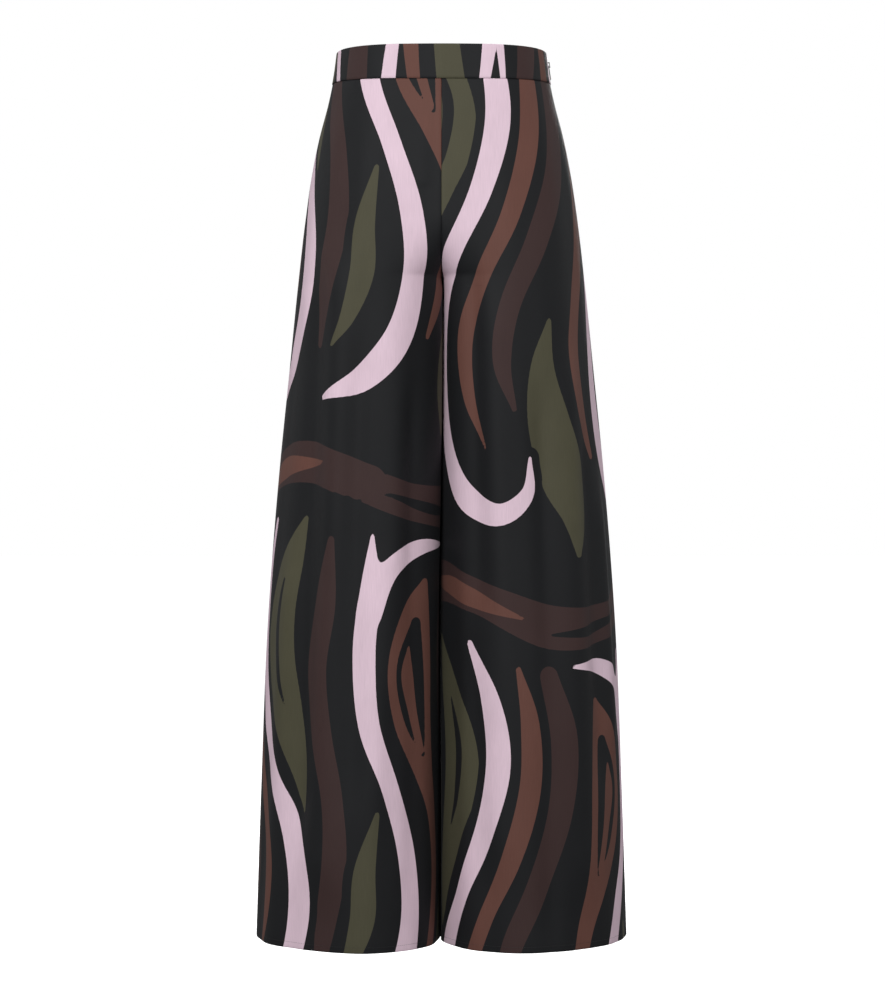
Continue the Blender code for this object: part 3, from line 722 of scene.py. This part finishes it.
def tube(name, line, side, radius, around, material):
    """A round wire along a line of points: a ring at each point, in the plane of side and tangent."""
    tangent = np.gradient(line, axis=0)
    tangent /= np.linalg.norm(tangent, axis=1)[:, None]
    side = side - (side * tangent).sum(axis=1)[:, None] * tangent
    side /= np.linalg.norm(side, axis=1)[:, None]
    other = np.cross(tangent, side)
    angle = np.linspace(0.0, 2 * math.pi, around, endpoint=False)
    ring = (np.cos(angle)[None, :, None] * side[:, None]
            + np.sin(angle)[None, :, None] * other[:, None])
    points = (line[:, None] + radius * ring).reshape(-1, 3)
    faces = [tuple(f) for f in grid_faces(len(line), around, close_columns=True)]
    faces += [tuple(range(around - 1, -1, -1)), tuple(range(len(points) - around, len(points)))]
    return add_mesh(name, points, faces, [material])


def zip_coil(material):
    """The closed coil: one flattened helix of monofilament behind the tapes, up to the slider."""
    top, low = MOUTH_HIGH_Z - 0.0004, ZIP_BOTTOM_Z + 0.0030
    turns = int((top - low) / COIL_PITCH)
    angle = np.linspace(0.0, 2 * math.pi * turns, turns * 12 + 1)
    z = np.linspace(top, low, len(angle))
    centre = interpolate_sections(z)["half_width"] - COIL_DEPTH - COIL_WALL / 2
    reach_x, reach_y = COIL_WALL / 2 - COIL_WIRE, COIL_WIDTH / 2 - COIL_WIRE
    line = np.column_stack([centre + reach_x * np.cos(angle), reach_y * np.sin(angle), z])
    side = np.column_stack([np.cos(angle) / reach_x, np.sin(angle) / reach_y, 0 * z])
    return tube("coil_turns", line, side, COIL_WIRE, 5, material)


# ---- Hem stitching -------------------------------------------------------------------------------
def hem_stitches(material):
    """The row of stitches that holds the hem: each a short thread, thick in its middle.

    A stitch is rings along the outline of the hem, their radius a half ellipse along its length.
    """
    along = np.array((-0.98, -0.6, 0.0, 0.6, 0.98))
    angle = np.linspace(0.0, 2 * math.pi, 6, endpoint=False)
    thick = STITCH_THICK / 2 * np.sqrt(1 - along ** 2)
    height = np.array([HEM_Z + STITCH_ABOVE])
    points = []
    for panel in PRINT_PLACE:
        face, side = panel.split("_")
        x, y, _, where = panel_surface(panel, height, np.array([0.0]))
        out_x, out_y = outward(x, y, face)
        middle = np.arange(STITCH_PITCH, where[0, -1] - STITCH_PITCH / 2, STITCH_PITCH)
        run = middle[:, None] + STITCH_LONG / 2 * along
        at = lambda values: np.interp(run, where[0], values[0])[..., None]
        lift = STITCH_THICK * 0.30 + thick[None, :, None] * np.cos(angle)
        mirror = 1 if side == "left" else -1
        rise = height + STITCH_FLAT * thick[None, :, None] * np.sin(angle)
        place = np.stack(np.broadcast_arrays(mirror * (at(x) + at(out_x) * lift),
                                             at(y) + at(out_y) * lift, rise), axis=-1)
        points.append(place if (face == "front") == (mirror == 1) else place[:, :, ::-1])
    points = np.concatenate(points)
    count, rings, around = points.shape[:3]
    one = [tuple(f) for f in grid_faces(rings, around, True, close_columns=True)]
    one += [tuple(range(around)), tuple(range(rings * around - 1, (rings - 1) * around - 1, -1))]
    faces = [tuple(k * rings * around + i for i in face) for k in range(count) for face in one]
    return add_mesh("hem_stitching", points.reshape(-1, 3), faces, [material])


# ---- Finishes ------------------------------------------------------------------------------------
class Value:
    """A socket of a material, so that shader maths can be written as plain expressions."""

    def __init__(self, finish, socket):
        self.finish = finish
        self.socket = socket

    def maths(self, operation, *others):
        return self.finish.node("ShaderNodeMath", {"operation": operation},
                                dict(enumerate((self,) + others)))

    def __add__(self, other):
        return self.maths("ADD", other)

    def __sub__(self, other):
        return self.maths("SUBTRACT", other)

    def __rsub__(self, other):
        return (self * -1) + other

    def __mul__(self, other):
        return self.maths("MULTIPLY", other)

    def __truediv__(self, other):
        return self.maths("DIVIDE", other)

    def clamped(self):
        return self.finish.node("ShaderNodeMath", {"operation": "ADD", "use_clamp": True},
                                {0: self, 1: 0.0})

    __radd__ = __add__
    __rmul__ = __mul__


class Finish:
    """One material and the nodes that make it."""

    def __init__(self, name):
        self.material = bpy.data.materials.new(name)
        self.material.use_nodes = True
        self.tree = self.material.node_tree
        self.shader = self.tree.nodes["Principled BSDF"]

    def feed(self, socket, value):
        if isinstance(value, Value):
            self.tree.links.new(value.socket, socket)
        else:
            socket.default_value = value

    def node(self, kind, settings=None, sockets=None, output=0):
        """A node with its settings made first, then its sockets given values or links."""
        node = self.tree.nodes.new(kind)
        for key, value in (settings or {}).items():
            setattr(node, key, value)
        for key, value in (sockets or {}).items():
            self.feed(node.inputs[key], value)
        return Value(self, node.outputs[output])

    def mix(self, share, first, second):
        return self.node("ShaderNodeMix", {"data_type": "RGBA"}, {0: share, 6: first, 7: second}, 2)

    def bump(self, strength, distance, height):
        return self.node("ShaderNodeBump", None,
                         {"Strength": strength, "Distance": distance, "Height": height})

    def noise(self, scale, detail):
        """Noise from 0 to 1 in the piece's own space."""
        place = self.node("ShaderNodeTexCoord", None, None, 3)
        return self.node("ShaderNodeTexNoise", None,
                         {"Vector": place, "Scale": scale, "Detail": detail})

    def finish(self, **sockets):
        """Sets the shader's own sockets, named with underscores for spaces."""
        for key, value in sockets.items():
            self.feed(self.shader.inputs[key.replace("_", " ")], value)
        return self.material


def sheet_place(made):
    """The flat place on the cloth as two numbers, across and up, in metres."""
    place = made.node("ShaderNodeUVMap", {"uv_map": "cloth"})
    return (made.node("ShaderNodeSeparateXYZ", None, {0: place}, 0),
            made.node("ShaderNodeSeparateXYZ", None, {0: place}, 1))


def stretched_noise(made, across, up, scale_across, scale_up, detail=2.0):
    """Noise from 0 to 1 on the flat cloth, with its own scale each way."""
    spot = made.node("ShaderNodeCombineXYZ", None, {0: across * scale_across, 1: up * scale_up})
    return made.node("ShaderNodeTexNoise", {"noise_dimensions": "2D"},
                     {"Vector": spot, "Scale": 1.0, "Detail": detail})


def twill(name, colours, line_colour, wrong_side=False):
    """The printed twill: flat inks over a dyed ground, on steep fine ribs with uneven threads."""
    made = Finish(name)
    across, up = sheet_place(made)
    colour = colours["ground"]
    for ink in PRINT_ORDER:
        distance = made.node("ShaderNodeAttribute", {"attribute_name": "print_" + ink}, None, 2)
        if ink == "pink":
            near = ((LINE_WIDTH - distance) / LINE_SOFT).clamped()
            colour = made.mix(near, colour, line_colour)
        inside = (0.5 - distance / PRINT_SOFT).clamped()
        colour = made.mix(inside, colour, colours[ink])
    streaks = stretched_noise(made, across, up, 900.0, 45.0)
    clouds = stretched_noise(made, across, up, 22.0, 15.0)
    vary = streaks * 0.16 + clouds * 0.14 + 0.85
    shade = made.node("ShaderNodeCombineXYZ", None, {0: vary, 1: vary, 2: vary})
    colour = made.node("ShaderNodeVectorMath", {"operation": "MULTIPLY"}, {0: colour, 1: shade})
    wander = stretched_noise(made, across, up, 260.0, 90.0)
    slant = -0.5 if wrong_side else 0.5
    rib = ((across + up * slant) * (2 * math.pi / RIB_PITCH) + wander * 3.0).maths("SINE")
    thread = stretched_noise(made, across, up, 2600.0, 700.0, 1.0)
    height = rib * 0.35 + thread * 0.9
    bump = made.bump(0.30, 0.00016, height)
    rough = streaks * 0.10 + (0.66 if wrong_side else 0.58)
    return made.finish(Base_Color=colour, Roughness=rough, Normal=bump,
                       Sheen_Weight=CLOTH_SHEEN, Sheen_Roughness=0.35,
                       Sheen_Tint=(0.85, 0.85, 0.90, 1.0), Specular_IOR_Level=CLOTH_GLOSS)


def overlock(name):
    """Seam allowances: the wrong side of the cloth, crossed at its free edge by dark overlock loops."""
    made = Finish(name)
    across, up = sheet_place(made)
    streaks = stretched_noise(made, across, up, 900.0, 45.0)
    colour = made.mix(streaks, (0.052, 0.050, 0.052, 1.0), (0.090, 0.088, 0.092, 1.0))
    edge = ((across - ALLOWANCE + OVERLOCK_REACH) * 4000.0).clamped()
    turn = (up + across * 0.4) * (2 * math.pi / OVERLOCK_PITCH)
    loops = (turn.maths("SINE") * 2.0 + 0.4).clamped()
    colour = made.mix(edge * loops, colour, (0.012, 0.012, 0.013, 1.0))
    height = edge * loops * 0.8 + streaks * 0.3
    bump = made.bump(0.4, 0.0003, height)
    return made.finish(Base_Color=colour, Roughness=streaks * 0.1 + 0.7, Normal=bump,
                       Specular_IOR_Level=0.2)


def tape_finish():
    """Zip tape: dark woven polyester with fine ribs across it."""
    made = Finish("zip_tape_weave")
    across, up = sheet_place(made)
    ribs = (up * (2 * math.pi / 0.0009)).maths("SINE")
    rows = (across * (2 * math.pi / 0.0011)).maths("SINE")
    weave = ribs * rows
    fluff = stretched_noise(made, across, up, 900.0, 900.0)
    colour = made.mix(weave * 0.25 + fluff * 0.5,
                      (0.008, 0.008, 0.009, 1.0), (0.022, 0.022, 0.024, 1.0))
    bump = made.bump(0.4, 0.00015, weave)
    return made.finish(Base_Color=colour, Roughness=fluff * 0.2 + 0.62, Normal=bump, Sheen_Weight=0.1)


def thread_finish():
    """Sewing thread: near black, twisted, with a slight gloss."""
    made = Finish("dark_thread")
    twist = made.noise(3000.0, 1.0)
    colour = made.mix(twist, (0.006, 0.006, 0.007, 1.0), (0.020, 0.020, 0.022, 1.0))
    bump = made.bump(0.3, 0.0001, twist)
    return made.finish(Base_Color=colour, Roughness=twist * 0.2 + 0.4, Normal=bump)


def nylon_finish():
    """The coil's monofilament: dark, smooth and a little uneven in gloss."""
    made = Finish("zip_nylon")
    cloudy = made.noise(400.0, 2.0)
    colour = made.mix(cloudy, (0.008, 0.008, 0.009, 1.0), (0.018, 0.018, 0.020, 1.0))
    return made.finish(Base_Color=colour, Roughness=cloudy * 0.15 + 0.28)


def lacquer_finish():
    """Slider and pull: dark lacquer over cast metal, thinner in spots, with a fine orange peel."""
    made = Finish("dark_lacquered_metal")
    spots = made.noise(700.0, 4.0)
    peel = made.noise(2600.0, 1.0)
    worn = ((spots - 0.62) * 8.0).clamped()
    colour = made.mix(worn, (0.024, 0.024, 0.026, 1.0), (0.16, 0.155, 0.15, 1.0))
    bump = made.bump(0.15, 0.0001, peel)
    return made.finish(Base_Color=colour, Metallic=worn * 0.5 + 0.45, Roughness=peel * 0.12 + 0.26,
                       Normal=bump, Coat_Weight=0.3)


# ---- Making the pieces ---------------------------------------------------------------------------
cloth = twill("printed_twill", INKS, LINE_COLOUR)
cloth_inside = twill("twill_wrong_side", INKS_INSIDE, LINE_INSIDE, wrong_side=True)

for panel in PRINT_PLACE:
    piece = leg_panel(panel, [cloth, cloth_inside])
    face, side = panel.split("_")
    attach(piece, "trousers")
    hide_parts(f"{face}_leg_{side}")

allowance_cloth = overlock("overlocked_allowance")
for name, (panel, edge, top, foot) in SEAMS.items():
    z = np.linspace(top, foot, int((top - foot) / 0.004))
    strip = seam_allowance(name, panel, edge, z, [allowance_cloth])
    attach(strip, "trousers")

for face in ("front", "back"):
    band = waistband(face, cloth)
    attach(band, "trousers")
    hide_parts("waistband_" + face)
    tape = zip_tape(face, tape_finish())
    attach(tape, "trousers")
    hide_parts("zip_tape_" + face)

coil = zip_coil(nylon_finish())
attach(coil, "trousers")
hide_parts("zip_coil")

stitches = hem_stitches(thread_finish())
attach(stitches, "trousers")

lacquer = lacquer_finish()
for name in ("zip_slider", "zip_pull"):
    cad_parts[name].data.materials[0] = lacquer


# ---- Studio --------------------------------------------------------------------------------------
def floor_finish():
    """Pale paper floor, lit so that it runs into the white behind it."""
    made = Finish("pale_floor")
    clouds = made.noise(3.0, 2.0)
    colour = made.mix(clouds, (0.86, 0.86, 0.86, 1.0), (0.90, 0.90, 0.90, 1.0))
    return made.finish(Base_Color=colour, Roughness=0.9, Emission_Color=(1.0, 1.0, 1.0, 1.0),
                       Emission_Strength=FLOOR_GLOW)


def add_floor():
    """A flat square far wider than the view, on a grid."""
    reach = np.linspace(-FLOOR_REACH, FLOOR_REACH, 9)
    x, y = np.meshgrid(reach, reach)
    points = np.stack([x, y, np.full(x.shape, FLOOR_Z)], axis=-1).reshape(-1, 3)
    return add_mesh("floor", points, grid_faces(9, 9), [floor_finish()], smooth=False)


def facing(place, aim):
    """The turn that points a light or camera from its place to its aim."""
    return (Vector(aim) - Vector(place)).to_track_quat("-Z", "Y").to_euler()


def add_light(name, place, aim, size, power):
    """A soft square light at a place, turned to its aim."""
    light = bpy.data.lights.new(name, "AREA")
    light.shape = "RECTANGLE"
    light.size, light.size_y = size
    light.energy = power
    lamp = bpy.data.objects.new(name, light)
    lamp.location = place
    lamp.rotation_euler = facing(place, aim)
    bpy.context.scene.collection.objects.link(lamp)


floor = add_floor()
floor.visible_diffuse = False
floor.visible_glossy = False
for light in LIGHTS:
    add_light(*light)

world = bpy.data.worlds.new("studio")
world.use_nodes = True
nodes, links = world.node_tree.nodes, world.node_tree.links
sky = nodes["Background"]
sky.inputs["Color"].default_value = (1.0, 1.0, 1.0, 1.0)
way = nodes.new("ShaderNodeTexCoord")
height = nodes.new("ShaderNodeSeparateXYZ")
ramp = nodes.new("ShaderNodeMapRange")
ramp.interpolation_type = "SMOOTHSTEP"
ramp.inputs["From Min"].default_value = -1.0
ramp.inputs["To Min"].default_value, ramp.inputs["To Max"].default_value = SKY_LIGHT
seen = nodes.new("ShaderNodeLightPath")
level = nodes.new("ShaderNodeMapRange")
level.inputs["To Max"].default_value = 1.0
links.new(way.outputs["Generated"], height.inputs["Vector"])
links.new(height.outputs["Z"], ramp.inputs["Value"])
links.new(seen.outputs["Is Camera Ray"], level.inputs["Value"])
links.new(ramp.outputs["Result"], level.inputs["To Min"])
links.new(level.outputs["Result"], sky.inputs["Strength"])
bpy.context.scene.world = world
bpy.context.scene.view_settings.view_transform = "Standard"
bpy.context.scene.view_settings.look = "None"

lens = bpy.data.cameras.new("camera")
lens.lens, lens.sensor_width = LENS
camera = bpy.data.objects.new("camera", lens)
camera.location = CAMERA_PLACE
camera.rotation_euler = facing(CAMERA_PLACE, CAMERA_AIM)
bpy.context.scene.collection.objects.link(camera)
bpy.context.scene.camera = camera

bpy.context.view_layer.update()
